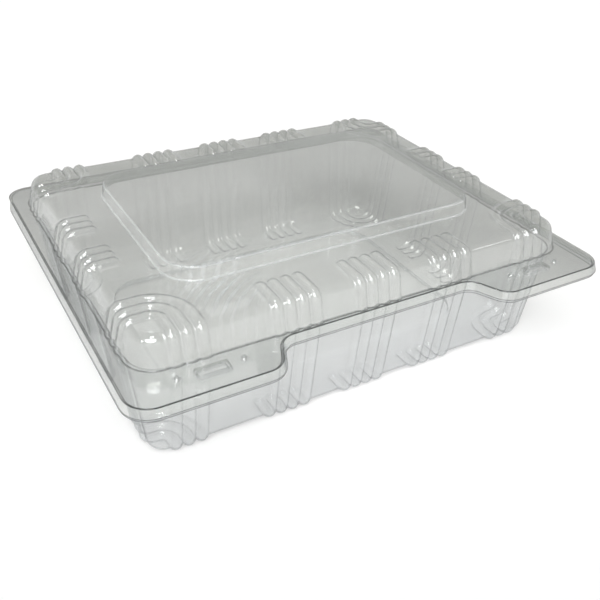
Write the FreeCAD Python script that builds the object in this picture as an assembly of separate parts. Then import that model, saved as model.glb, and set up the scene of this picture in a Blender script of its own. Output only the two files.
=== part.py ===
"""Clear hinged clamshell pack: a deep tray and a shallow lid formed from one plastic sheet.

Millimetres, +Z up, +X along the opening front, +Y towards the folded rear edge.
The origin is on the surface that the pack stands on, under the middle of its outline.
"""
import FreeCAD
import Part

import math
import os

from FreeCAD import Vector

# The sheet and its running clearances
wall = 0.4
flange_gap = 0.3
nest_clearance = 0.35
fold_clearance = 0.15

# The flange that both halves share, measured from the middle of the body
flange_length = 260.0
rear_reach = 104.9
tab_reach = 115.2
waist_reach = 96.3
flange_corner = 12.0
step_centre = 58.3
step_radius = 10.0
step_angle = 65.0

# The lip that turns down from the flange
lip_drop = 4.5
lip_flare = 1.6
base_lip_drop = 5.0
lip_end_reach = 86.0

# The lid's raised body
lid_body_length = 243.4
lid_body_width = 188.8
lid_height = 14.2
lid_draft = 4.0
body_corner = 14.0
lid_bend = 5.0

# The base's deep body
base_step = 2.0
base_depth = 54.0
base_draft = 6.0
base_bend = 5.0

# The flat panel, raised on the lid and pressed up into the base's floor
panel_margin_x = 32.2
panel_margin_y = 35.6
panel_corner = 18.0
panel_draft = 1.0
panel_height = 7.0
recess_height = 4.0
panel_bend = 1.2

# The stiffening ridges
ridge_width = 5.8
ridge_crest = 2.4
ridge_height = 1.8
ridge_pitch = 6.5
ridge_bend_flats = 3
ridge_turn_flats = 4
front_cluster_count = 3
front_cluster_ridges = 4
front_cluster_spacing = 43.8
front_ridge_inset = 20.2
side_cluster_count = 2
side_cluster_ridges = 3
side_cluster_spacing = 34.7
side_ridge_inset = 16.2
corner_ridges = 3
corner_turn_inset_x = 13.7
corner_turn_inset_y = 15.1
corner_turn_radius = 5.6

# The press-together locks on the two front tabs
button_centre_x = 90.8
button_inset = 11.2
button_length = 15.6
button_width = 6.6
button_height = 2.0
button_corner = 1.6
button_bend = 0.7
nib_spacing = 15.2
nib_inset = 13.0
nib_radius = 1.9
nib_height = 1.2

# Heights and middles that follow from the sizes above
base_flange_z = ridge_height + base_depth
base_top_z = base_flange_z + wall
lid_under_z = base_top_z + flange_gap
lid_flange_z = lid_under_z + wall
lip_slope = lip_flare / lip_drop
base_lip_flare = lip_slope * base_lip_drop
base_shrink = wall + nest_clearance
front_extent = tab_reach + max(lip_flare, base_lip_flare - base_shrink)
body_y = (front_extent - rear_reach) / 2.0
hinge_y = body_y + rear_reach + fold_clearance
hinge_z = base_top_z + flange_gap / 2.0
panel_half_x = lid_body_length / 2.0 - panel_margin_x
panel_half_y = lid_body_width / 2.0 - panel_margin_y


def rounded_rectangle(half_x, half_y, radius, z):
    """Closed wire: a rectangle with round corners, always made of four lines and four arcs."""
    edges = []
    lean = math.sqrt(0.5)
    centres = [(1, -1), (1, 1), (-1, 1), (-1, -1)]
    for index, (side_x, side_y) in enumerate(centres):
        next_x, next_y = centres[(index + 1) % 4]
        cx = side_x * (half_x - radius)
        cy = side_y * (half_y - radius)
        if side_x * side_y < 0:
            first = Vector(cx, cy + side_y * radius, z)
            last = Vector(cx + side_x * radius, cy, z)
        else:
            first = Vector(cx + side_x * radius, cy, z)
            last = Vector(cx, cy + side_y * radius, z)
        middle = Vector(cx + side_x * radius * lean, cy + side_y * radius * lean, z)
        edges.append(Part.Arc(first, middle, last).toShape())
        nx = next_x * (half_x - radius)
        ny = next_y * (half_y - radius)
        if next_x * next_y < 0:
            start_next = Vector(nx, ny + next_y * radius, z)
        else:
            start_next = Vector(nx + next_x * radius, ny, z)
        edges.append(Part.LineSegment(last, start_next).toShape())
    return Part.Wire(edges)


def drafted_block(foot_x, foot_y, foot_radius, draft, z_foot, z_top):
    """A block with round corners whose four walls lean in by the draft."""
    foot = rounded_rectangle(foot_x, foot_y, foot_radius, z_foot)
    top_radius = max(foot_radius - draft, 0.2)
    top = rounded_rectangle(foot_x - draft, foot_y - draft, top_radius, z_top)
    return Part.makeLoft([foot, top], True, True)


def round_rim(block, z, radius):
    """Rounds every edge that lies at height z."""
    rim = [e for e in block.Edges if all(abs(v.Z - z) < 1e-4 for v in e.Vertexes)]
    return block.makeFillet(radius, rim)


def flange_outline(grow, z):
    """The flange's edge: straight at the rear, with two tabs and a waist at the front.

    grow moves it outward on every side but the rear, as a true offset.
    """
    angle = math.radians(step_angle)
    rise = tab_reach - waist_reach
    slant = (rise - 2.0 * step_radius * (1.0 - math.cos(angle))) / math.sin(angle)
    run = 2.0 * step_radius * math.sin(angle) + slant * math.cos(angle)
    inner_x = step_centre - run / 2.0
    outer_x = step_centre + run / 2.0
    concave = step_radius - grow
    convex = step_radius + grow
    half = angle / 2.0
    side_x = flange_length / 2.0
    corner = flange_corner + grow
    lean = math.sqrt(0.5)
    concave_y = -(waist_reach + step_radius)
    convex_y = -(tab_reach - step_radius)
    corner_x = side_x - flange_corner
    corner_y = -(tab_reach - flange_corner)
    rear_x = side_x + grow - flange_corner
    rear_y = rear_reach - flange_corner
    right = [
        (inner_x, concave_y + concave),
        (inner_x + concave * math.sin(half), concave_y + concave * math.cos(half)),
        (inner_x + concave * math.sin(angle), concave_y + concave * math.cos(angle)),
        (outer_x - convex * math.sin(angle), convex_y - convex * math.cos(angle)),
        (outer_x - convex * math.sin(half), convex_y - convex * math.cos(half)),
        (outer_x, convex_y - convex),
        (corner_x, corner_y - corner),
        (corner_x + corner * lean, corner_y - corner * lean),
        (corner_x + corner, corner_y),
        (rear_x + flange_corner, rear_y),
        (rear_x + flange_corner * lean, rear_y + flange_corner * lean),
        (rear_x, rear_y + flange_corner),
    ]
    a = [Vector(x, y, z) for x, y in right]
    b = [Vector(-x, y, z) for x, y in right]
    line = Part.LineSegment
    arc = Part.Arc
    edges = [
        line(b[0], a[0]), arc(a[0], a[1], a[2]), line(a[2], a[3]), arc(a[3], a[4], a[5]),
        line(a[5], a[6]), arc(a[6], a[7], a[8]), line(a[8], a[9]), arc(a[9], a[10], a[11]),
        line(a[11], b[11]), arc(b[11], b[10], b[9]), line(b[9], b[8]), arc(b[8], b[7], b[6]),
        line(b[6], b[5]), arc(b[5], b[4], b[3]), line(b[3], b[2]), arc(b[2], b[1], b[0]),
    ]
    return Part.Wire([edge.toShape() for edge in edges])


def flange_with_lip(shrink, z_under, drop, flare):
    """The flat flange and the lip that turns down from its front and sides and leans outward."""
    outline = flange_outline(-shrink, z_under)
    plate = Part.Face(outline).extrude(Vector(0, 0, wall))
    z_top = z_under + wall
    outside = Part.makeLoft(
        [flange_outline(-shrink, z_top), flange_outline(flare - shrink, z_top - drop)], True, True
    )
    inside = Part.makeLoft(
        [
            flange_outline(-shrink - wall, z_top),
            flange_outline(flare - shrink - wall, z_top - drop),
        ],
        True,
        True,
    )
    lip = outside.cut(inside)
    rear = Part.makeBox(
        2.0 * flange_length, rear_reach, 4.0 * drop,
        Vector(-flange_length, lip_end_reach, z_top - 3.0 * drop),
    )
    return plate.fuse(lip.cut(rear))


def wall_stations(foot, draft, height, bend):
    """Stations up the wall, round the bend and onto the flat: distance out, height, and normal."""
    length = math.hypot(draft, height)
    up = (-draft / length, height / length)
    out = (height / length, draft / length)
    travel = (height - bend + out[1] * bend) / up[1]
    centre = (foot + up[0] * travel - out[0] * bend, height - bend)
    run_out = 3.0 * wall
    stations = [((foot - up[0] * run_out, -up[1] * run_out), out)]
    first = math.atan2(out[1], out[0])
    for step in range(ridge_bend_flats + 1):
        angle = first + (math.pi / 2.0 - first) * step / ridge_bend_flats
        normal = (math.cos(angle), math.sin(angle))
        stations.append(((centre[0] + bend * normal[0], centre[1] + bend * normal[1]), normal))
    return stations


def ridge_sides(inset):
    """Half width of a ridge at its foot and how much its sides lean in for each millimetre up."""
    lean = (ridge_width - ridge_crest) / 2.0 / ridge_height
    narrower = inset * (math.hypot(1.0, lean) - lean)
    return ridge_width / 2.0 - narrower, lean


def ridge_section(point, across, normal, inset, along=Vector(0, 0, 0)):
    """The ridge's four-cornered section at a point of the sheet, rooted a little inside it.

    along leans the whole section, for the slanted end of a ridge.
    """
    half, lean = ridge_sides(inset)
    corners = []
    for side, rise in ((-1, -2.0 * wall), (1, -2.0 * wall), (1, ridge_height), (-1, ridge_height)):
        width = side * (half - lean * rise)
        corners.append(point + across * width + normal * rise + along * (lean * rise))
    return corners


def flat_sided_bar(sections):
    """A solid with flat faces that runs through four-cornered sections one after another."""
    faces = []
    for near, far in zip(sections, sections[1:]):
        for corner in range(4):
            following = (corner + 1) % 4
            quad = [near[corner], near[following], far[following], far[corner], near[corner]]
            faces.append(Part.Face(Part.makePolygon(quad)))
    for cap in (sections[0], sections[-1]):
        faces.append(Part.Face(Part.makePolygon(cap + cap[:1])))
    skin = Part.makeShell(faces)
    skin.sewShape()
    bar = Part.makeSolid(skin)
    if bar.Volume < 0:
        bar.reverse()
    return bar


def straight_ridge(stations, end, place, inset):
    """One ridge: up the wall, round the bend and along the flat to a slanted end."""
    half, lean = ridge_sides(inset)
    origin = place(0.0, 0.0)
    outward = place(1.0, 0.0) - origin
    upward = Vector(0, 0, 1)
    across = outward.cross(upward)
    sections = []
    for (distance, z), (out, rise) in stations:
        normal = outward * out + upward * rise
        sections.append(ridge_section(place(distance, z), across, normal, inset))
    narrower = ridge_width / 2.0 - half
    tip = place(end + narrower, stations[-1][0][1])
    sections.append(ridge_section(tip, across, upward, inset, outward))
    return flat_sided_bar(sections)


def corner_ridge(side, front, turn, inset):
    """One L-shaped ridge: up the end wall, a round turn on the flat, and down the long wall."""
    turn_x, turn_y, turn_radius = turn
    x_axis, y_axis, up = Vector(1, 0, 0), Vector(0, 1, 0), Vector(0, 0, 1)
    sections = []
    for (distance, z), (out, rise) in side:
        point = Vector(distance, turn_y - turn_radius, z)
        sections.append(ridge_section(point, y_axis, x_axis * out + up * rise, inset))
    flat_z = side[-1][0][1]
    for step in range(ridge_turn_flats + 1):
        angle = math.pi / 2.0 * step / ridge_turn_flats
        across = Vector(math.sin(angle), math.cos(angle), 0)
        point = Vector(turn_x, turn_y, flat_z) - across * turn_radius
        sections.append(ridge_section(point, across, up, inset))
    for (distance, z), (out, rise) in reversed(front):
        point = Vector(turn_x - turn_radius, distance, z)
        sections.append(ridge_section(point, x_axis, y_axis * out + up * rise, inset))
    return flat_sided_bar(sections)


def cluster_places(count, spacing, ridges):
    """Where the ridges of evenly spaced clusters stand, either side of the middle."""
    places = []
    for cluster in range(count):
        centre = (cluster - (count - 1) / 2.0) * spacing
        for ridge in range(ridges):
            places.append(centre + (ridge - (ridges - 1) / 2.0) * ridge_pitch)
    return places


def quarter_ridges(foot_x, foot_y, draft, height, bend, inset):
    """The ridges of one quarter, where x and y are above 0, with the flat upward at height."""
    side = wall_stations(foot_x - inset, draft, height - inset, bend - inset)
    front = wall_stations(foot_y - inset, draft, height - inset, bend - inset)
    lid_x = lid_body_length / 2.0
    lid_y = lid_body_width / 2.0
    bars = []
    for x in cluster_places(front_cluster_count, front_cluster_spacing, front_cluster_ridges):
        if x > -ridge_width / 2.0:
            bars.append(straight_ridge(
                front, lid_y - front_ridge_inset, lambda d, z, x=x: Vector(x, d, z), inset
            ))
    for y in cluster_places(side_cluster_count, side_cluster_spacing, side_cluster_ridges):
        if y > -ridge_width / 2.0:
            bars.append(straight_ridge(
                side, lid_x - side_ridge_inset, lambda d, z, y=y: Vector(d, y, z), inset
            ))
    for number in range(corner_ridges):
        turn = (
            lid_x - corner_turn_inset_x,
            lid_y - corner_turn_inset_y,
            corner_turn_radius + number * ridge_pitch,
        )
        bars.append(corner_ridge(side, front, turn, inset))
    return bars


def quarter_form(foot_x, foot_y, draft, height, bend, panel, inset):
    """One quarter of the body as a solid form, its flange plane at z = 0 and its flat upward.

    inset 0 gives the sheet's outer face, inset = wall its inner face. A panel above 0 stands
    up from the flat, one below 0 is pressed into it.
    """
    z_foot = -wall - 2.0 * inset
    block = drafted_block(
        foot_x - inset, foot_y - inset, body_corner - inset, draft, 0.0, height - inset
    )
    block = round_rim(block, height - inset, bend - inset)
    foot = rounded_rectangle(foot_x - inset, foot_y - inset, body_corner - inset, z_foot)
    neck = Part.Face(foot).extrude(Vector(0, 0, -z_foot))
    if panel > 0:
        raised = drafted_block(
            panel_half_x - inset, panel_half_y - inset, panel_corner - inset,
            panel_draft, height - 2.0 * wall, height + panel - inset,
        )
        raised = round_rim(raised, height + panel - inset, panel_bend - inset)
        block = block.fuse([neck, raised])
    else:
        pressed = drafted_block(
            panel_half_x - panel_draft + inset, panel_half_y - panel_draft + inset,
            panel_corner - panel_draft + inset, -panel_draft,
            height + panel - inset, height + 2.0 * wall,
        )
        block = block.fuse(neck).cut(pressed)
    room = Part.makeBox(
        flange_length, flange_length, height + abs(panel) + ridge_height + wall - z_foot,
        Vector(0, 0, z_foot),
    )
    bars = quarter_ridges(foot_x, foot_y, draft, height, bend, inset)
    return block.common(room).fuse(bars).common(room)


def four_quarters(quarter):
    """The quarter and its three mirror images."""
    middle = Vector(0, 0, 0)
    right = [quarter, quarter.mirror(middle, Vector(0, 1, 0))]
    return right + [piece.mirror(middle, Vector(1, 0, 0)) for piece in right]


def lock_forms(z, inset):
    """The raised lock button and its two nibs on each tab, standing on height z."""
    forms = []
    for sign in (-1, 1):
        block = drafted_block(
            button_length / 2.0 - inset, button_width / 2.0 - inset, button_corner,
            0.3, z - 0.5 * wall, z + button_height,
        )
        block = round_rim(block, z + button_height, button_bend)
        block.translate(Vector(sign * button_centre_x, -(tab_reach - button_inset), 0))
        forms.append(block)
        for nib_sign in (-1, 1):
            nib = Part.makeCone(
                nib_radius - inset, (nib_radius - inset) * 0.7, nib_height + 0.5 * wall,
                Vector(
                    sign * button_centre_x + nib_sign * nib_spacing,
                    -(tab_reach - nib_inset),
                    z - 0.5 * wall,
                ),
            )
            forms.append(nib)
    return forms


def join_half(flange, outer, inner, locks, lock_holes):
    """Joins the four quarters of the formed body to its flange and opens the locks."""
    sheet = outer.cut(inner)
    ring = flange.cut(four_quarters(inner))
    half = ring.fuse(four_quarters(sheet) + locks).cut(lock_holes)
    return half.removeSplitter()


def make_lid():
    """The lid: flange and lip, raised body, flat panel, ridges and lock buttons."""
    sizes = (lid_body_length / 2.0, lid_body_width / 2.0, lid_draft, lid_height, lid_bend)
    outer = quarter_form(*sizes, panel_height, 0.0)
    inner = quarter_form(*sizes, panel_height, wall)
    for quarter in (outer, inner):
        quarter.translate(Vector(0, 0, lid_flange_z))
    flange = flange_with_lip(0.0, lid_under_z, lip_drop, lip_flare)
    return join_half(
        flange, outer, inner, lock_forms(lid_flange_z, 0.0), lock_forms(lid_under_z, wall)
    )


def make_base():
    """The base: flange and lip, deep body, pressed-up floor panel, ridges and lock buttons."""
    foot_x = lid_body_length / 2.0 - base_step
    foot_y = lid_body_width / 2.0 - base_step
    sizes = (foot_x, foot_y, base_draft, base_depth, base_bend)
    quarters = []
    for inset in (0.0, wall):
        quarter = quarter_form(*sizes, -recess_height, inset)
        quarter = quarter.mirror(Vector(0, 0, 0), Vector(0, 0, 1))
        quarter.translate(Vector(0, 0, base_flange_z))
        quarters.append(quarter)
    flange = flange_with_lip(base_shrink, base_flange_z, base_lip_drop, base_lip_flare)
    return join_half(
        flange, quarters[0], quarters[1],
        lock_forms(base_top_z, base_shrink), lock_forms(base_flange_z, base_shrink + wall),
    )


def save(name, shape):
    """Moves one half to the part's own origin and writes it."""
    shape.translate(Vector(0, body_y, 0))
    if shape.ShapeType == "Compound" and len(shape.Solids) == 1:
        shape = shape.Solids[0]
    shape.exportStep(os.path.join("parts", name + ".step"))
    box = shape.BoundBox
    print(name, "valid", shape.isValid(), "solids", len(shape.Solids), "volume", round(shape.Volume, 1))
    print("  x", round(box.XMin, 2), round(box.XMax, 2), "y", round(box.YMin, 2), round(box.YMax, 2),
          "z", round(box.ZMin, 2), round(box.ZMax, 2))


os.makedirs("parts", exist_ok=True)
save("base_tray", make_base())
save("lid", make_lid())
print("hinge line y", round(hinge_y, 3), "z", round(hinge_z, 3), "body middle y", round(body_y, 3))
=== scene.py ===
import math

import bpy
import numpy as np
from mathutils import Matrix, Vector
from mathutils.geometry import delaunay_2d_cdt


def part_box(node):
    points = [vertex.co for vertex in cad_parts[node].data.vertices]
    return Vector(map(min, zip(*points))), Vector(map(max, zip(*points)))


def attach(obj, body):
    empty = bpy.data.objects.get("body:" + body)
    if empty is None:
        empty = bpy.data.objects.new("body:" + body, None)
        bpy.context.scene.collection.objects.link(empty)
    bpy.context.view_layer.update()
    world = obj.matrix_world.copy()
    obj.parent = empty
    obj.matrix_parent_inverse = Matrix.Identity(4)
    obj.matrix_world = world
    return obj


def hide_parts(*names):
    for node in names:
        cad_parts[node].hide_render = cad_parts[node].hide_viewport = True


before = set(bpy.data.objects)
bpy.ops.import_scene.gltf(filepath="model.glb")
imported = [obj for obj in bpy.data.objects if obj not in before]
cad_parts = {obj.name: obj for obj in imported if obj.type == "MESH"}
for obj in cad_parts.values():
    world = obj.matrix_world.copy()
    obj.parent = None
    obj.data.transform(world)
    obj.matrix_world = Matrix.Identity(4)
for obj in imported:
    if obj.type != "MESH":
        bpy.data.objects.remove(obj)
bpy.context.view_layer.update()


# The lid. A shallow tray of clear plastic sheet, formed over a mould with ridges that stiffen its
# walls and corners, a raised flat panel for a label, and a flange whose lip grips the base's. Its
# plain sheet is laid out here as rings from the lip to the panel, and the ridges are pressed into it.
mm = 0.001    # sizes are in millimetres, the frame in metres
sheet_thickness = 0.4
rear_reach, tab_reach, waist_reach = 104.9, 115.2, 96.3    # from the body's middle to the flange's edge
flange_half, flange_corner = 130.0, 12.0
step_centre, step_radius, step_angle = 58.3, 10.0, math.radians(65.0)    # between waist and tab
lip_drop, lip_flare, lip_end = 4.5, 1.6, 86.0
lid_half_x, lid_half_y, lid_height, lid_draft, lid_bend = 121.7, 94.4, 14.2, 4.0, 5.0
body_corner = 14.0
panel_margin_x, panel_margin_y, panel_corner, panel_draft, panel_height = 32.2, 35.6, 18.0, 1.0, 7.0
ridge_pitch, ridge_height, ridge_radius = 6.5, 1.8, 3.2
front_spacing, side_spacing = 43.8, 34.7    # between the middles of groups
front_ridge_inset, side_ridge_inset = 20.2, 16.2
turn_inset_x, turn_inset_y, turn_radius = 13.7, 15.1, 5.6    # the ridges that turn at the corners
button_x, button_inset, button_half_x, button_half_y, button_height = 90.8, 11.2, 7.8, 3.3, 2.0
nib_spacing, nib_inset, nib_radius, nib_height = 15.2, 13.0, 1.9, 1.2
body_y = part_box("lid")[1].y / mm - rear_reach
lid_flange_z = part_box("lid")[1].z / mm - panel_height - lid_height


def spread(stops, gaps):
    """Places from the first stop to the last, each stretch divided evenly at about its gap."""
    places = [stops[0]]
    for low, high, gap in zip(stops, stops[1:], gaps):
        count = max(1, round((high - low) / gap))
        places += [low + (high - low) * (k + 1) / count for k in range(count)]
    return places


def both_sides(places):
    """The places right of the middle, and the same left of it, in order."""
    return np.array([-p for p in reversed(places) if p > 1e-9] + list(places))


def across_ridges(first, count):
    """Places across ridges that stand side by side, closest together at the ridges' feet."""
    steps = (0.0, 1.1, 2.15, 2.75, ridge_pitch / 2)
    places = set()
    for k in range(count):
        for step in steps:
            places |= {round(first + k * ridge_pitch + sign * step, 4) for sign in (-1, 1)}
    return sorted(places)


def side_places(straight_x, straight_y):
    """Where the sheet's ring points stand along the long and the short sides."""
    tab_corner = 71.0    # the flange's edge is straight again from here
    turn_x = lid_half_x - turn_inset_x - turn_radius - 2 * ridge_pitch
    turn_y = lid_half_y - turn_inset_y - turn_radius - 2 * ridge_pitch
    middle = [p for p in across_ridges(-1.5 * ridge_pitch, 4) if p >= 0]
    outer = across_ridges(front_spacing - 1.5 * ridge_pitch, 4)
    corner = [p for p in across_ridges(turn_x, 3) if p < straight_x - 0.5]
    xs = middle + spread([middle[-1], outer[0]], [3.3])[1:-1] + outer
    xs += spread([outer[-1], tab_corner, corner[0]], [1.6, 3.3])[1:-1] + corner
    xs += spread([corner[-1], straight_x], [1.0])[1:]
    sides = across_ridges(side_spacing / 2 - ridge_pitch, 3)
    corner = [p for p in across_ridges(turn_y, 3) if p < straight_y - 0.5]
    ys = [0.0] + spread([0.0, sides[0]], [2.4])[1:-1] + sides
    ys += spread([sides[-1], corner[0]], [3.6])[1:-1] + corner
    ys += spread([corner[-1], straight_y], [1.0])[1:]
    return both_sides(xs), both_sides(ys)


corner_steps = 12


def corner_arc(x, y, radius, start):
    """The inner points of a quarter turn about a place, from the way that it starts in."""
    turns = start + np.arange(1, corner_steps) / corner_steps * math.pi / 2
    return np.stack([x + radius * np.cos(turns), y + radius * np.sin(turns)], 1)


def loop(front, right, rear, left, corners):
    """One closed ring: four sides of points and, after each, the inner points of its corner."""
    parts = []
    for side, corner in zip((front, right, rear, left), corners):
        parts += [side, corner]
    return np.concatenate(parts)


def rounded_ring(xs, ys, half_x, half_y, radius):
    """A ring with round corners. Its side points keep their shares of the side's length."""
    sx, sy = half_x - radius, half_y - radius
    ex, ey = xs * sx / xs[-1], ys * sy / ys[-1]
    front = np.stack([ex, np.full(len(ex), -half_y)], 1)
    right = np.stack([np.full(len(ey), half_x), ey], 1)
    corners = [
        corner_arc(sx, -sy, radius, -math.pi / 2), corner_arc(sx, sy, radius, 0.0),
        corner_arc(-sx, sy, radius, math.pi / 2), corner_arc(-sx, -sy, radius, math.pi),
    ]
    return loop(front, right, -front, -right, corners)


def front_edge(x):
    """How far the flange's front edge lies from the middle at x: waist, step and tab."""
    x = np.abs(x)
    rise = tab_reach - waist_reach
    slant = (rise - 2 * step_radius * (1 - math.cos(step_angle))) / math.sin(step_angle)
    run = 2 * step_radius * math.sin(step_angle) + slant * math.cos(step_angle)
    inner, outer = step_centre - run / 2, step_centre + run / 2
    bend = step_radius * math.sin(step_angle)
    first = waist_reach + step_radius - np.sqrt(np.maximum(step_radius**2 - (x - inner) ** 2, 0))
    last = tab_reach - step_radius + np.sqrt(np.maximum(step_radius**2 - (outer - x) ** 2, 0))
    low = waist_reach + step_radius * (1 - math.cos(step_angle))
    middle = low + (x - inner - bend) * math.tan(step_angle)
    reach = np.where(x < inner, waist_reach, first)
    reach = np.where(x > inner + bend, middle, reach)
    reach = np.where(x > outer - bend, last, reach)
    return np.where(x > outer, tab_reach, reach)


def flange_ring(xs, ys):
    """The flange's outline, the way that each of its points faces, and the same without the rear."""
    straight_x = flange_half - flange_corner
    low, high = flange_corner - tab_reach, rear_reach - flange_corner
    fx = xs * straight_x / xs[-1]
    fy = low + (ys - ys[0]) / (ys[-1] - ys[0]) * (high - low)
    front = np.stack([fx, -front_edge(fx)], 1)
    right = np.stack([np.full(len(fy), flange_half), fy], 1)
    rear = np.stack([fx[::-1], np.full(len(fx), rear_reach)], 1)
    left = np.stack([np.full(len(fy), -flange_half), fy[::-1]], 1)
    corners = [
        corner_arc(straight_x, low, flange_corner, -math.pi / 2),
        corner_arc(straight_x, high, flange_corner, 0.0),
        corner_arc(-straight_x, high, flange_corner, math.pi / 2),
        corner_arc(-straight_x, low, flange_corner, math.pi),
    ]
    ring = loop(front, right, rear, left, corners)
    along = np.roll(ring, -1, 0) - np.roll(ring, 1, 0)
    facing = np.stack([along[:, 1], -along[:, 0]], 1)
    facing /= np.linalg.norm(facing, axis=1)[:, None]
    sideways = facing.copy()
    sideways[facing[:, 1] > 0, 1] = 0.0
    return ring, facing, sideways


def rounded_path(points, radii, steps):
    """Points along a path whose inner corners are rounded, and the way the path faces at each."""
    points = [np.array(p, float) for p in points]
    made, facing = [points[0]], []
    for before, here, after, radius in zip(points, points[1:], points[2:], radii):
        a = (before - here) / np.linalg.norm(before - here)
        b = (after - here) / np.linalg.norm(after - here)
        half = math.acos(np.clip(a @ b, -1, 1)) / 2
        centre = here + (a + b) / np.linalg.norm(a + b) * radius / math.sin(half)
        start = here + a * radius / math.tan(half) - centre
        end = here + b * radius / math.tan(half) - centre
        for k in range(steps + 1):
            spoke = start * (1 - k / steps) + end * k / steps
            made.append(centre + spoke / np.linalg.norm(spoke) * radius)
    made.append(points[-1])
    made = np.array(made)
    along = np.gradient(made, axis=0)
    facing = np.stack([-along[:, 1], along[:, 0]], 1)
    return made, facing / np.linalg.norm(facing, axis=1)[:, None]


def soft_step(value, low, high):
    """A smooth rise from 0 to 1 as the value goes from low to high."""
    share = np.clip((value - low) / (high - low), 0, 1)
    return share * share * (3 - 2 * share)


def lock_rise(x, y, shrink):
    """Height of the lock button and its two nibs above the tab, x and y from the button's middle."""
    corner, ramp, foot = 0.9, 0.5, 0.15
    qx = np.abs(x) - (button_half_x - shrink - corner)
    qy = np.abs(y) - (button_half_y - shrink - corner)
    outside = np.hypot(np.maximum(qx, 0), np.maximum(qy, 0)) + np.minimum(np.maximum(qx, qy), 0)
    outside -= corner
    button = button_height * (1 - soft_step(outside, -ramp, foot))
    nib = np.hypot(np.abs(x) - nib_spacing, y - (nib_inset - button_inset))
    nib = nib_height * (1 - soft_step(nib, 0.45 * nib_radius, nib_radius - shrink + foot))
    return np.maximum(button, nib)


class Sheet:
    """Points and faces of a formed sheet, in millimetres, its flange flat and its body upward."""

    def __init__(self):
        self.points, self.push, self.room, self.line, self.faces = [], [], [], [], []

    def add(self, points, push=None, room=0.0, line=0.0):
        """Adds points and gives their numbers. push is the way that a ridge would lift them, room how
        far it may, and line how much painted shade the sheet gets there, where it bends or ends, or
        below 0 how much painted highlight."""
        first = len(self.points)
        count = len(points)
        push = np.tile((0.0, 0.0, 1.0), (count, 1)) if push is None else push
        self.points += list(points)
        self.push += list(push)
        self.room += list(np.broadcast_to(room, count))
        self.line += list(np.broadcast_to(line, count))
        return np.arange(first, first + count)

    def join(self, low, high):
        """Faces between two rings, the first one outside the second."""
        for a, b, c, d in zip(low, np.roll(low, -1), np.roll(high, -1), high):
            self.faces.append((a, b, c, d))

    def grid(self, xs, ys, heights):
        """A rectangular patch of faces, and its border's numbers in order."""
        gx, gy = np.meshgrid(xs, ys)
        points = np.stack([gx.ravel(), gy.ravel(), heights.ravel()], 1)
        slope = np.hypot(np.gradient(heights, xs, axis=1), np.gradient(heights, ys, axis=0))
        # Painted shade on the slopes of the lock button and nibs, the steeper the darker, up to a limit.
        slope_line, most_line = 0.08, 0.15
        line = np.clip(slope.ravel() * slope_line, 0, most_line)
        numbers = self.add(points, line=line).reshape(gx.shape)
        for row, above in zip(numbers, numbers[1:]):
            for a, b, c, d in zip(row, row[1:], above[1:], above):
                self.faces.append((a, b, c, d))
        return np.concatenate([
            numbers[0, :-1], numbers[:-1, -1], numbers[-1, :0:-1], numbers[:0:-1, 0],
        ])

    def fill_flat(self, outer, inner, holes):
        """Flat faces between the outer ring, the inner ring and the borders of the patches."""
        loops = [outer, inner] + holes
        numbers = np.concatenate(loops)
        flat = [Vector(self.points[n][:2]) for n in numbers]
        edges, first = [], 0
        for ring in loops:
            count = len(ring)
            edges += [(first + k, first + (k + 1) % count) for k in range(count)]
            first += count
        places, _, triangles, origin, _, _ = delaunay_2d_cdt(flat, edges, [], 0, 1e-6)
        shapes = [np.array([self.points[n][:2] for n in ring]) for ring in loops]
        for triangle in triangles:
            middle = np.mean([places[k] for k in triangle], axis=0)
            if not inside(middle, shapes[0]) or any(inside(middle, s) for s in shapes[1:]):
                continue
            corners = [int(numbers[origin[k][0]]) for k in triangle]
            a, b, c = (np.array(places[k]) for k in triangle)
            turn = (b[0] - a[0]) * (c[1] - a[1]) - (b[1] - a[1]) * (c[0] - a[0])
            self.faces.append(tuple(corners if turn > 0 else corners[::-1]))

    def mesh(self, name, place, upside_down=False):
        """A Blender mesh of the sheet in the frame's metres, with points that coincide made one."""
        points = np.array(self.points, float)
        _, first, same = np.unique(
            np.round(points, 4), axis=0, return_index=True, return_inverse=True
        )
        same = same.ravel()
        points, push = points[first], np.array(self.push)[first]
        room, line = np.array(self.room)[first], np.array(self.line)[first]
        if upside_down:
            points[:, 2] *= -1
            push[:, 2] *= -1
        faces = []
        for face in self.faces:
            kept = []
            for corner in (int(same[n]) for n in face):
                if corner not in kept:
                    kept.append(corner)
            if len(kept) > 2:
                faces.append(kept[::-1] if upside_down else kept)
        mesh = bpy.data.meshes.new(name)
        mesh.from_pydata((points + np.array(place)) * mm, [], faces)
        mesh.attributes.new("push", "FLOAT_VECTOR", "POINT").data.foreach_set("vector", push.ravel())
        mesh.attributes.new("room", "FLOAT", "POINT").data.foreach_set("value", room)
        mesh.attributes.new("line", "FLOAT", "POINT").data.foreach_set("value", line)
        mesh.shade_smooth()
        return mesh


def inside(point, ring):
    """True if the point lies inside the ring of points."""
    after = np.roll(ring, -1, 0)
    spans = (ring[:, 1] > point[1]) != (after[:, 1] > point[1])
    rise = after[:, 1] - ring[:, 1]
    rise = np.where(np.abs(rise) < 1e-12, 1e-12, rise)
    crossing = ring[:, 0] + (point[1] - ring[:, 1]) * (after[:, 0] - ring[:, 0]) / rise
    return bool(np.sum(spans & (crossing > point[0])) % 2)


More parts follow.
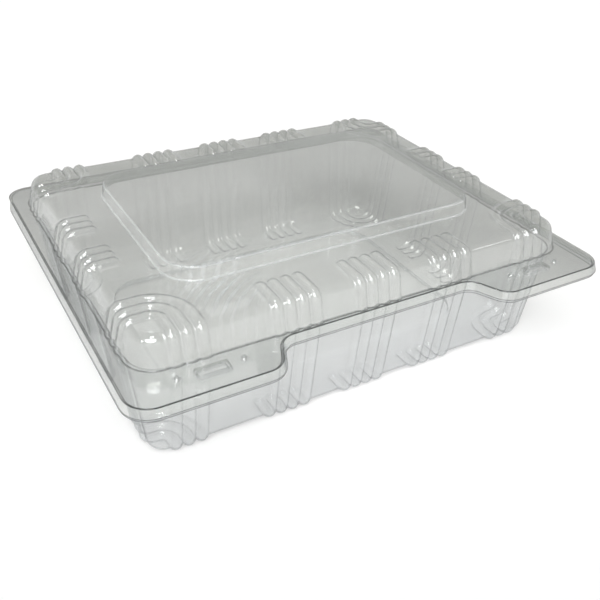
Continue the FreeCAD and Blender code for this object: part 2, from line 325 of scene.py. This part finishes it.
def formed_sheet(
    half_x, half_y, height, draft, bend, panel, lip_path, flat_from, shrink, lock_shrink, dark, pale
):
    """The plain sheet of one half, before its ridges, from the lip's end to the panel's middle.

    lip_path says how far out and high the lip's rings stand and how much painted shade each carries,
    flat_from how far inside its edge the flange is flat, shrink and lock_shrink what the sheet and its
    locks lose to fit inside the other half's, and dark and pale how strong the painted shade is on the
    panel's far edges and the painted highlight on its near ones."""
    sheet = Sheet()
    straight_x, straight_y = half_x - body_corner, half_y - body_corner
    xs, ys = side_places(straight_x, straight_y)
    outline, facing, sideways = flange_ring(xs, ys)
    lip_fade = 6.0
    gripping = 1 - soft_step(outline[:, 1], lip_end, lip_end + lip_fade)
    rings = []
    for grow, z, line in lip_path:
        grown = outline + sideways * (grow * gripping - shrink)[:, None]
        rings.append(sheet.add(np.column_stack([grown, z * gripping]), line=line))
    grown = outline - sideways * shrink - facing * flat_from
    rings.append(sheet.add(np.column_stack([grown, np.zeros(len(grown))])))
    for low, high in zip(rings, rings[1:]):
        sheet.join(low, high)
    flange_end = rings[-1]

    foot_out, foot_bend, bend_steps = 0.45, 0.5, 7
    # Painted shade along the bend where the body rises from the flange.
    foot_line, foot_room = 0.4, 0.45
    path, ways = rounded_path(
        [(-foot_out, 0.0), (0.0, 0.0), (draft, height), (body_corner, height)],
        [foot_bend, bend], bend_steps,
    )
    core = rounded_ring(xs, ys, half_x, half_y, body_corner)
    flat_out = rounded_ring(xs, ys, half_x + 1, half_y + 1, body_corner + 1) - core
    flat_out /= np.maximum(np.linalg.norm(flat_out, axis=1), 1e-9)[:, None]
    rings = []
    for at, ((inset, z), (way_in, way_up)) in enumerate(zip(path, ways)):
        ring = rounded_ring(xs, ys, half_x - inset, half_y - inset, max(body_corner - inset, 0))
        near_flange = z < 1.0
        out, up = (1.0, 0.0) if near_flange else (-way_in, way_up)
        push = np.column_stack([flat_out * out, np.full(len(ring), up)])
        room = foot_room + (1 - foot_room) * float(soft_step(z, 0.3, 2.6))
        line = foot_line if 1 <= at < bend_steps else 0.0
        rings.append(sheet.add(np.column_stack([ring, np.full(len(ring), z)]), push, room, line))
    for low, high in zip(rings, rings[1:]):
        sheet.join(low, high)
    foot, rim = rings[0], rings[-1]

    # The tab round each lock is a patch of its own, finest at the edges of the button and nibs.
    patch_x, patch_y = 19.0, 5.4
    button_in, button_out = 1.6, 0.4
    nib_y, nib_near, nib_far = nib_inset - button_inset, 2.1, 2.2
    fine_x = both_sides(spread(
        [0, button_half_x - button_in, button_half_x + button_out,
         nib_spacing - nib_far, nib_spacing + nib_far, patch_x],
        [1.6, 0.2, 1.2, 0.3, 0.8],
    ))
    fine_y = np.array(spread(
        [-patch_y, -button_half_y - button_out, button_in - button_half_y,
         nib_y - nib_near, nib_y + nib_far, patch_y],
        [0.8, 0.2, 0.5, 0.22, 0.8],
    ))
    borders = []
    for sign in (-1, 1):
        gx, gy = np.meshgrid(fine_x, fine_y)
        heights = lock_rise(gx, gy, lock_shrink) * (1 if panel > 0 else -1)
        borders.append(sheet.grid(
            sign * button_x + fine_x, button_inset - tab_reach + fine_y, heights
        ))
    sheet.fill_flat(flange_end, foot, borders)

    px, py = lid_half_x - panel_margin_x, lid_half_y - panel_margin_y
    first = np.array([sheet.points[n][:2] for n in rim])
    target = panel_ring(first, px, py, panel_corner, straight_x, straight_y)
    # Rings stand close together as far in as the ridges reach, and wider apart from there on.
    last = rim
    ridges_end, before_panel = 0.66, 0.94
    for share in spread([0.0, ridges_end, before_panel], [0.026, 0.058])[1:]:
        ring = first * (1 - share) + target * share
        ring = sheet.add(np.column_stack([ring, np.full(len(ring), height)]), None, 1.0)
        sheet.join(last, ring)
        last = ring
    panel_out, panel_foot_bend, panel_bend, panel_steps = 0.9, 0.8, 1.2, 4
    panel_flat, panel_middle = 4.0, 17.0
    path, _ = rounded_path(
        [(-panel_out, 0.0), (0.0, 0.0), (panel_draft, panel), (panel_flat, panel)],
        [panel_foot_bend, panel_bend], panel_steps,
    )
    # Painted shade on the panel's far edges and painted highlight along the bends of its near edges.
    bends = (2, 3, 4, 7, 8, 9)
    far = soft_step(first[:, 0] / straight_x + first[:, 1] / straight_y, -0.3, 0.3)
    for at, (inset, z) in enumerate(list(path) + [(panel_middle, panel)]):
        ring = panel_ring(first, px - inset, py - inset, panel_corner - inset, straight_x, straight_y)
        line = far * (dark if 1 <= at < len(path) - 1 else 0.0)
        line -= (1 - far) * (pale if at in bends else 0.0)
        ring = sheet.add(np.column_stack([ring, np.full(len(ring), height + z)]), line=line)
        sheet.join(last, ring)
        last = ring
    sheet.faces.append(tuple(last))
    return sheet


def panel_ring(first, half_x, half_y, radius, straight_x, straight_y):
    """A ring with round corners, whose points stand opposite those of the square-cornered first."""
    sx, sy = half_x - radius, half_y - radius
    x, y = np.abs(first[:, 0]), np.abs(first[:, 1])
    on_long = y > straight_y - 1e-6
    run_x, run_y = straight_x - sx, straight_y - sy
    along = np.where(on_long, x - sx, run_x + (straight_y - y))
    turn = np.clip(along / (run_x + run_y), 0, 1) * math.pi / 2
    round_x, round_y = sx + radius * np.sin(turn), sy + radius * np.cos(turn)
    flat_long = on_long & (x <= sx)
    flat_short = ~on_long & (y <= sy)
    px = np.where(flat_long, x, np.where(flat_short, half_x, round_x))
    py = np.where(flat_long, half_y, np.where(flat_short, y, round_y))
    return np.stack([np.copysign(px, first[:, 0]), np.copysign(py, first[:, 1])], 1)


def lip_rings(flare, drop, bend):
    """The lip from its cut end up to the flange: how far out and high, and how much painted shade it
    carries at its cut end and along its bend.
    """
    cut_edge = [(0.0, 0.5), (0.05, 0.4), (0.11, 0.0)]
    bend_lines = (0.0, 0.2, 0.8, 0.8, 0.2, 0.0)
    flat = 1.6
    path = rounded_path([(flare, -drop), (0.0, 0.0), (-flat, 0.0)], [bend], len(bend_lines) - 1)[0]
    end, top = path[0], path[1]
    stops = [(*(end + (top - end) * share), line) for share, line in cut_edge]
    return stops + [(*point, line) for point, line in zip(path[1:-1], bend_lines)]


class Signal:
    """A socket of a node tree that can be used in sums like a number."""

    def __init__(self, made, socket):
        self.made, self.socket = made, socket

    def maths(self, operation, *others):
        """The signal worked on by a Math node, with up to two others."""
        return self.made.node("ShaderNodeMath", {"operation": operation}, {
            place: value for place, value in enumerate((self,) + others)
        }).out(0)

    def __add__(self, other):
        return self.maths("ADD", other)

    def __radd__(self, other):
        return self.maths("ADD", other)

    def __sub__(self, other):
        return self.maths("SUBTRACT", other)

    def __rsub__(self, other):
        return self.made.number(other).maths("SUBTRACT", self)

    def __mul__(self, other):
        return self.maths("MULTIPLY", other)

    def __rmul__(self, other):
        return self.maths("MULTIPLY", other)

    def __truediv__(self, other):
        return self.maths("DIVIDE", other)

    def least(self, other):
        return self.maths("MINIMUM", other)

    def most(self, other):
        return self.maths("MAXIMUM", other)


class Node:
    """A node whose outputs are read as signals."""

    def __init__(self, made, node):
        self.made, self.node = made, node

    def out(self, name):
        return Signal(self.made, self.node.outputs[name])


class Tree:
    """A node tree under construction."""

    def __init__(self, tree):
        self.tree = tree

    def node(self, kind, settings=None, sockets=None):
        """A node of a kind, its settings set first, then its sockets' values or links."""
        node = self.tree.nodes.new(kind)
        for name, value in (settings or {}).items():
            setattr(node, name, value)
        for name, value in (sockets or {}).items():
            if isinstance(value, Signal):
                self.tree.links.new(value.socket, node.inputs[name])
            else:
                node.inputs[name].default_value = value
        return Node(self, node)

    def number(self, value):
        """A plain number as a signal."""
        return self.node("ShaderNodeMath", {"operation": "ADD"}, {0: value, 1: 0.0}).out(0)


def ridge_tree():
    """Geometry nodes that press the ridges into a sheet: groups of ridges and nested corner turns."""
    group = bpy.data.node_groups.new("pressed_ridges", "GeometryNodeTree")
    face = group.interface
    face.new_socket("Geometry", in_out="INPUT", socket_type="NodeSocketGeometry")
    face.new_socket("Geometry", in_out="OUTPUT", socket_type="NodeSocketGeometry")
    for name in (
        "Pitch", "Height", "Radius", "Front Spacing", "Front End", "Side Spacing", "Side End",
        "Turn X", "Turn Y", "Turn Radius", "Body Y", "Flank Painted Shade",
    ):
        face.new_socket(name, in_out="INPUT", socket_type="NodeSocketFloat")
    face.new_socket("Material", in_out="INPUT", socket_type="NodeSocketMaterial")
    made = Tree(group)
    given = made.node("NodeGroupInput")
    place = made.node(
        "ShaderNodeSeparateXYZ", None, {0: made.node("GeometryNodeInputPosition").out(0)}
    )
    x = place.out(0)
    y = place.out(1) - given.out("Body Y")
    pitch = given.out("Pitch")

    def nearest_ridge(across, ridges):
        """How far the place is from the nearest of a few ridges that stand side by side."""
        step = across / pitch + ridges / 2.0
        number = step.maths("FLOOR").most(0.0).least(ridges - 1.0)
        return (step - number - 0.5) * pitch

    def group_distance(across, along, spacing, groups, ridges, end):
        """Distance from the ridges of evenly spaced groups, round past their inner ends."""
        middle = (groups - 1) / 2.0
        number = (across / spacing + middle + 0.5).maths("FLOOR").most(0.0).least(groups - 1.0)
        aside = nearest_ridge(across - (number - middle) * spacing, ridges)
        past = (end - along.maths("ABSOLUTE")).most(0.0)
        return (aside * aside + past * past).maths("SQRT")

    front = group_distance(x, y, given.out("Front Spacing"), 3, 4, given.out("Front End"))
    side = group_distance(y, x, given.out("Side Spacing"), 2, 3, given.out("Side End"))
    inward_x = (given.out("Turn X") - x.maths("ABSOLUTE")).most(0.0)
    inward_y = (given.out("Turn Y") - y.maths("ABSOLUTE")).most(0.0)
    reach = (inward_x * inward_x + inward_y * inward_y).maths("SQRT")
    turn = nearest_ridge(reach - given.out("Turn Radius") - pitch, 3).maths("ABSOLUTE")
    distance = front.least(side).least(turn)
    radius = given.out("Radius")
    bow = (radius * radius - distance * distance).most(0.0).maths("SQRT")
    foot_softness = 0.5 * mm
    rise = (bow - radius + given.out("Height")).maths("SMOOTH_MAX", 0.0, foot_softness)
    room = made.node(
        "GeometryNodeInputNamedAttribute", {"data_type": "FLOAT"}, {"Name": "room"}
    ).out(0)
    push = made.node(
        "GeometryNodeInputNamedAttribute", {"data_type": "FLOAT_VECTOR"}, {"Name": "push"}
    ).out(0)
    shift = made.node("ShaderNodeVectorMath", {"operation": "SCALE"}, {0: push, "Scale": rise * room})
    moved = made.node(
        "GeometryNodeSetPosition", None, {"Geometry": given.out(0), "Offset": shift.out(0)}
    )
    line = made.node("GeometryNodeInputNamedAttribute", {"data_type": "FLOAT"}, {"Name": "line"})
    # Painted shade along both flanks of every ridge, added to the sheet's line.
    flank_place, flank_width = 0.82, 0.3
    painted_flank_mask = (distance - radius * flank_place).maths("ABSOLUTE") / (radius * flank_width)
    painted_flank_mask = (1.0 - painted_flank_mask).most(0.0)
    lined = made.node(
        "GeometryNodeStoreNamedAttribute", {"data_type": "FLOAT", "domain": "POINT"},
        {"Geometry": moved.out(0), "Name": "line",
         "Value": line.out(0) + painted_flank_mask * room * given.out("Flank Painted Shade")},
    )
    real = made.node("GeometryNodeRealizeInstances", None, {0: lined.out(0)})
    dressed = made.node(
        "GeometryNodeSetMaterial", None, {"Geometry": real.out(0), "Material": given.out("Material")}
    )
    made.node("NodeGroupOutput", None, {0: dressed.out(0)})
    return group


def clear_sheet(name, clearness, painted_light_streaks=0.0):
    """Clear glossy sheet: see-through, mirror-like at a slant, a little hazy, with painted shade where
    it bends and where it is seen at a slant, and painted highlight where its line is below 0.

    clearness is the colour that one side lets through. painted_light_streaks is how strongly faint
    curved stripes of painted light show between the lid's near left corner and its first ridges."""
    material = bpy.data.materials.new(name)
    material.use_nodes = True
    made = Tree(material.node_tree)
    material.node_tree.nodes.clear()
    place = made.node("ShaderNodeTexCoord").out("Object")
    slant = made.node("ShaderNodeLayerWeight", None, {"Blend": 0.5}).out("Facing")
    line = made.node("ShaderNodeAttribute", {"attribute_name": "line"}).out("Fac")
    drawn = made.node("ShaderNodeTexNoise", None, {"Vector": place, "Scale": 34.0, "Detail": 2.0}).out(0)
    fine_haze = made.node(
        "ShaderNodeTexNoise", None, {"Vector": place, "Scale": 900.0, "Detail": 3.0}
    ).out(0)

    waves = made.node("ShaderNodeBump", None, {
        "Strength": 0.25, "Distance": 0.6 * mm, "Height": drawn,
    }).out(0)
    gloss = made.node("ShaderNodeBsdfPrincipled", None, {
        "Base Color": (0.97, 0.98, 1.0, 1.0), "Metallic": 1.0, "Normal": waves,
        "Roughness": fine_haze * 0.03 + drawn * 0.03 + 0.01,
    })
    clear = made.node("ShaderNodeBsdfTransparent", None, {"Color": clearness})
    squared = slant * slant
    face_on_mirror = 0.05
    mirror = squared * squared * slant * (1 - face_on_mirror) + face_on_mirror
    shine = made.node("ShaderNodeMixShader", None, {0: mirror, 1: clear.out(0), 2: gloss.out(0)})

    # Painted shade where the sheet is seen at a slant: it darkens the colour and makes the sheet less
    # clear.
    edge = squared * squared * squared
    # The sheet's own pale haze, darkened by painted shade where it bends, where it ends and where it is
    # seen at a slant, and left pale as a painted highlight where line is below 0.
    haze_and_painted_highlight_colour, painted_shade_colour = (0.75, 0.77, 0.78, 1.0), (0.02, 0.024, 0.024, 1.0)
    haze_and_painted_shade_colour = made.node("ShaderNodeMix", {"data_type": "RGBA"}, {
        0: (line * 3.0 + edge * 3.0).least(1.0), 6: haze_and_painted_highlight_colour, 7: painted_shade_colour,
    }).out(2)
    body = made.node("ShaderNodeBsdfPrincipled", None, {
        "Base Color": haze_and_painted_shade_colour, "Roughness": 0.4, "Specular IOR Level": 0.0,
    })
    # How far the sheet turns from clear to that colour: the haze is its own, the rest is painted shade,
    # painted highlight and, on the lid, painted light.
    haze = drawn * 0.03 + fine_haze * 0.03
    haze_and_painted_light = line.maths("ABSOLUTE") * 0.7 + edge * 0.5 + haze
    # Painted light: faint curved pale stripes between the lid's near left corner and its first ridges.
    if painted_light_streaks:
        bow_centre, pitch, bend = (-0.02, -0.125, 0.07), 4.4 * mm, 6 * mm
        left, front, reach_x, reach_y = 71 * mm, 64 * mm, 24 * mm, 28 * mm
        bow = made.node(
            "ShaderNodeVectorMath", {"operation": "DISTANCE"}, {0: place, 1: bow_centre}
        ).out("Value")
        painted_light_bands = ((bow + drawn * bend) * (2 * math.pi / pitch)).maths("SINE").most(0.0)
        spot = made.node("ShaderNodeSeparateXYZ", None, {0: place})
        near_x = (1.0 - (spot.out(0) + left).maths("ABSOLUTE") / reach_x).most(0.0)
        near_y = (1.0 - (spot.out(1) + front).maths("ABSOLUTE") / reach_y).most(0.0)
        haze_and_painted_light = haze_and_painted_light + painted_light_bands * near_x * near_y * painted_light_streaks
    whole = made.node(
        "ShaderNodeMixShader", None, {0: haze_and_painted_light.least(0.9), 1: shine.out(0), 2: body.out(0)}
    )
    made.node("ShaderNodeOutputMaterial", None, {"Surface": whole.out(0)})
    return material


def press(mesh, name, material, flank_line):
    """Presses the ridges into a plain sheet and gives it its thickness, as one plain mesh."""
    draft = bpy.data.objects.new(name + "_draft", mesh)
    bpy.context.collection.objects.link(draft)
    ridges = draft.modifiers.new("ridges", "NODES")
    ridges.node_group = pressed_ridges
    values = {
        "Pitch": ridge_pitch * mm, "Height": ridge_height * mm, "Radius": ridge_radius * mm,
        "Front Spacing": front_spacing * mm, "Front End": (lid_half_y - front_ridge_inset) * mm,
        "Side Spacing": side_spacing * mm, "Side End": (lid_half_x - side_ridge_inset) * mm,
        "Turn X": (lid_half_x - turn_inset_x) * mm, "Turn Y": (lid_half_y - turn_inset_y) * mm,
        "Turn Radius": turn_radius * mm, "Body Y": body_y * mm, "Flank Painted Shade": flank_line,
        "Material": material,
    }
    for item in pressed_ridges.interface.items_tree:
        if item.in_out == "INPUT" and item.name in values:
            ridges[item.identifier] = values[item.name]
    wall = draft.modifiers.new("wall", "SOLIDIFY")
    wall.thickness = sheet_thickness * mm
    wall.offset = -1.0
    bpy.context.view_layer.update()
    formed = bpy.data.meshes.new_from_object(
        draft.evaluated_get(bpy.context.evaluated_depsgraph_get())
    )
    bpy.data.objects.remove(draft)
    formed.name = name
    for left in ("push", "room"):
        formed.attributes.remove(formed.attributes[left])
    sharp_from = math.radians(55)
    formed.set_sharp_from_angle(angle=sharp_from)
    piece = bpy.data.objects.new(name, formed)
    bpy.context.collection.objects.link(piece)
    return piece


lip_path = lip_rings(lip_flare, lip_drop, bend=0.8)
pressed_ridges = ridge_tree()
# The lid's clearness is set lower than the base's, though both are the same sheet: painted shade that
# darkens everything seen through the lid.
lid_sheet = clear_sheet("clear_lid_sheet_shaded_darker", (0.958, 0.961, 0.949, 1.0), painted_light_streaks=0.35)
lid_plain = formed_sheet(
    lid_half_x, lid_half_y, lid_height, lid_draft, lid_bend, panel_height, lip_path,
    flat_from=0.9, shrink=0.0, lock_shrink=0.0, dark=0.08, pale=0.3,
).mesh("lid_plain", (0.0, body_y, lid_flange_z))
lid = press(lid_plain, "lid_shell", lid_sheet, flank_line=0.14)
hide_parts("lid")
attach(lid, "lid")


# The base. A deep tray formed in the same sheet as the lid, with the same ridges down its walls
# and a panel pressed up into its floor, so that it stands on its ridges. It is laid out bottom up
# and turned over, and only its lip points the same way as the lid's and fits inside it.
base_step, base_depth, base_draft, base_bend, recess_height = 2.0, 54.0, 6.0, 5.0, 4.0
base_lip_drop = 5.0
base_clearance = 0.75
base_shrink = base_clearance + sheet_thickness
base_flange_z = ridge_height + base_depth
base_lip_flare = lip_flare / lip_drop * base_lip_drop
base_lip_path = [
    (out, -up, line) for out, up, line in lip_rings(base_lip_flare, base_lip_drop, bend=0.6)
]
base_sheet = clear_sheet("clear_base_sheet", (0.985, 0.987, 0.987, 1.0))
base_plain = formed_sheet(
    lid_half_x - base_step, lid_half_y - base_step, base_depth, base_draft, base_bend,
    -recess_height, base_lip_path,
    flat_from=0.8, shrink=base_shrink, lock_shrink=base_shrink, dark=0.0, pale=0.0,
).mesh("base_plain", (0.0, body_y, base_flange_z), upside_down=True)
base = press(base_plain, "base_shell", base_sheet, flank_line=0.07)
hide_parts("base_tray")
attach(base, "base")


# The studio. A plain pale floor under soft daylight, a few small lamps that show as highlights in
# the gloss, and the camera where the photograph's was.
def plain_floor():
    """A table top, white in front and painted greyer farther back and at the right: painted shade that
    shows where the floor is seen through the pack. Some of its white is its own, so that it looks white
    to the camera all over."""
    material = bpy.data.materials.new("white_floor")
    material.use_nodes = True
    made = Tree(material.node_tree)
    material.node_tree.nodes.clear()
    light = made.node("ShaderNodeLightPath")
    place = made.node("ShaderNodeSeparateXYZ", None, {0: made.node("ShaderNodeTexCoord").out("Object")})
    # Painted shade: the floor turns grey farther back and to the right of the pack, and its own glow
    # makes it white again where it is seen directly.
    aside_from, aside_weight = 0.06, 1.6
    aside = (place.out(0) - aside_from).most(0.0)
    painted_shade_share = made.node("ShaderNodeMapRange", {"interpolation_type": "SMOOTHSTEP"}, {
        "Value": place.out(1) + aside * aside_weight, "From Min": -0.02, "From Max": 0.25,
    }).out(0)
    front_white, painted_shade_grey = (0.93, 0.93, 0.93, 1.0), (0.42, 0.42, 0.408, 1.0)
    shade = made.node("ShaderNodeMix", {"data_type": "RGBA"}, {
        0: painted_shade_share, 6: front_white, 7: painted_shade_grey,
    }).out(2)
    matt = made.node("ShaderNodeBsdfDiffuse", None, {"Color": shade})
    direct = light.out("Is Camera Ray") * (1.0 - light.out("Transparent Depth").least(1.0))
    seen = direct.most(light.out("Is Glossy Ray")).most(light.out("Is Transmission Ray"))
    own_white, rear_white = 0.12, 0.52
    glow = made.node("ShaderNodeEmission", None, {
        "Color": (1.0, 1.0, 1.0, 1.0),
        "Strength": light.out("Is Camera Ray") * own_white + seen * painted_shade_share * rear_white,
    })
    both = made.node("ShaderNodeAddShader", None, {0: matt.out(0), 1: glow.out(0)})
    made.node("ShaderNodeOutputMaterial", None, {"Surface": both.out(0)})
    return material


floor_mesh = bpy.data.meshes.new("floor")
reach = 4.0    # from here on, lengths are in metres
floor_mesh.from_pydata(
    [(-reach, -reach, 0), (reach, -reach, 0), (reach, reach, 0), (-reach, reach, 0)],
    [], [(0, 1, 2, 3)],
)
floor_mesh.materials.append(plain_floor())
floor = bpy.data.objects.new("floor", floor_mesh)
bpy.context.collection.objects.link(floor)

world = bpy.data.worlds.new("studio")
bpy.context.scene.world = world
world.use_nodes = True
around = Tree(world.node_tree)
world.node_tree.nodes.clear()
height = around.node(
    "ShaderNodeSeparateXYZ", None, {0: around.node("ShaderNodeTexCoord").out("Generated")}
).out(2)
walls = around.node("ShaderNodeMapRange", {"interpolation_type": "SMOOTHSTEP"}, {
    "Value": height, "From Min": 0.02, "From Max": 0.58, "To Min": 1.0, "To Max": 0.13,
}).out(0)
sky = around.node("ShaderNodeBackground", None, {"Color": (1.0, 1.0, 0.98, 1.0), "Strength": walls})
around.node("ShaderNodeOutputWorld", None, {"Surface": sky.out(0)})


def soft_box(name, place, size, brightness, target=(0.0, 0.0, 0.04)):
    """A rectangular soft lamp, aimed at the pack, that only shows as a reflection in its gloss."""
    lamp = bpy.data.lights.new(name, "AREA")
    lamp.shape = "RECTANGLE"
    lamp.size, lamp.size_y = size
    lamp.energy = brightness * size[0] * size[1] * math.pi
    holder = bpy.data.objects.new(name, lamp)
    bpy.context.collection.objects.link(holder)
    holder.visible_diffuse = False
    away = (Vector(place) - Vector(target)).normalized()
    holder.matrix_world = Matrix.Translation(place) @ away.to_track_quat("Z", "Y").to_matrix().to_4x4()


near_left_tab = (-0.118, -0.094, 0.057)
soft_box("top_box", (-0.15, -0.1, 1.0), (0.17, 0.12), 26.0)
soft_box("left_box", (-0.85, -0.35, 0.6), (0.11, 0.18), 20.0)
soft_box("right_box", (0.75, -0.55, 0.75), (0.12, 0.16), 4.0)
soft_box("front_box", (-0.45, -1.2, 0.55), (1.2, 0.7), 0.8)
soft_box("rear_panel", (0.055, 0.505, 0.565), (0.34, 0.16), 0.7, near_left_tab)
soft_box("rear_window", (0.068, 0.489, 0.567), (0.016, 0.009), 3.6, near_left_tab)
daylight = bpy.data.lights.new("daylight", "SUN")
daylight.angle = math.radians(40)
daylight.energy = 3.0
daylight_holder = bpy.data.objects.new("daylight", daylight)
bpy.context.collection.objects.link(daylight_holder)
daylight_holder.rotation_euler = (math.radians(33), math.radians(-22), 0.0)

view_azimuth, view_elevation, view_roll = math.radians(-31.19), math.radians(33.38), math.radians(2.53)
view_distance, aim_x, aim_y = 358.16, -32.27, -74.07
focal_length, sensor = 45.24, 36.0
aim = Vector((aim_x, aim_y + body_y, lid_flange_z))
back = Vector((
    math.sin(view_azimuth) * math.cos(view_elevation),
    -math.cos(view_azimuth) * math.cos(view_elevation),
    math.sin(view_elevation),
))
level = back.cross(Vector((0, 0, 1))).normalized() * -1
upright = back.cross(level)
right = level * math.cos(view_roll) + upright * math.sin(view_roll)
up = upright * math.cos(view_roll) - level * math.sin(view_roll)
camera_data = bpy.data.cameras.new("camera")
camera_data.lens = focal_length
camera_data.sensor_width = sensor
camera_data.clip_end = 20.0
camera = bpy.data.objects.new("camera", camera_data)
bpy.context.collection.objects.link(camera)
turned = Matrix((right, up, back)).transposed().to_4x4()
camera.matrix_world = Matrix.Translation((aim + back * view_distance) * mm) @ turned
bpy.context.scene.camera = camera
bpy.context.scene.view_settings.view_transform = "Standard"
bpy.context.scene.cycles.transparent_max_bounces = 48
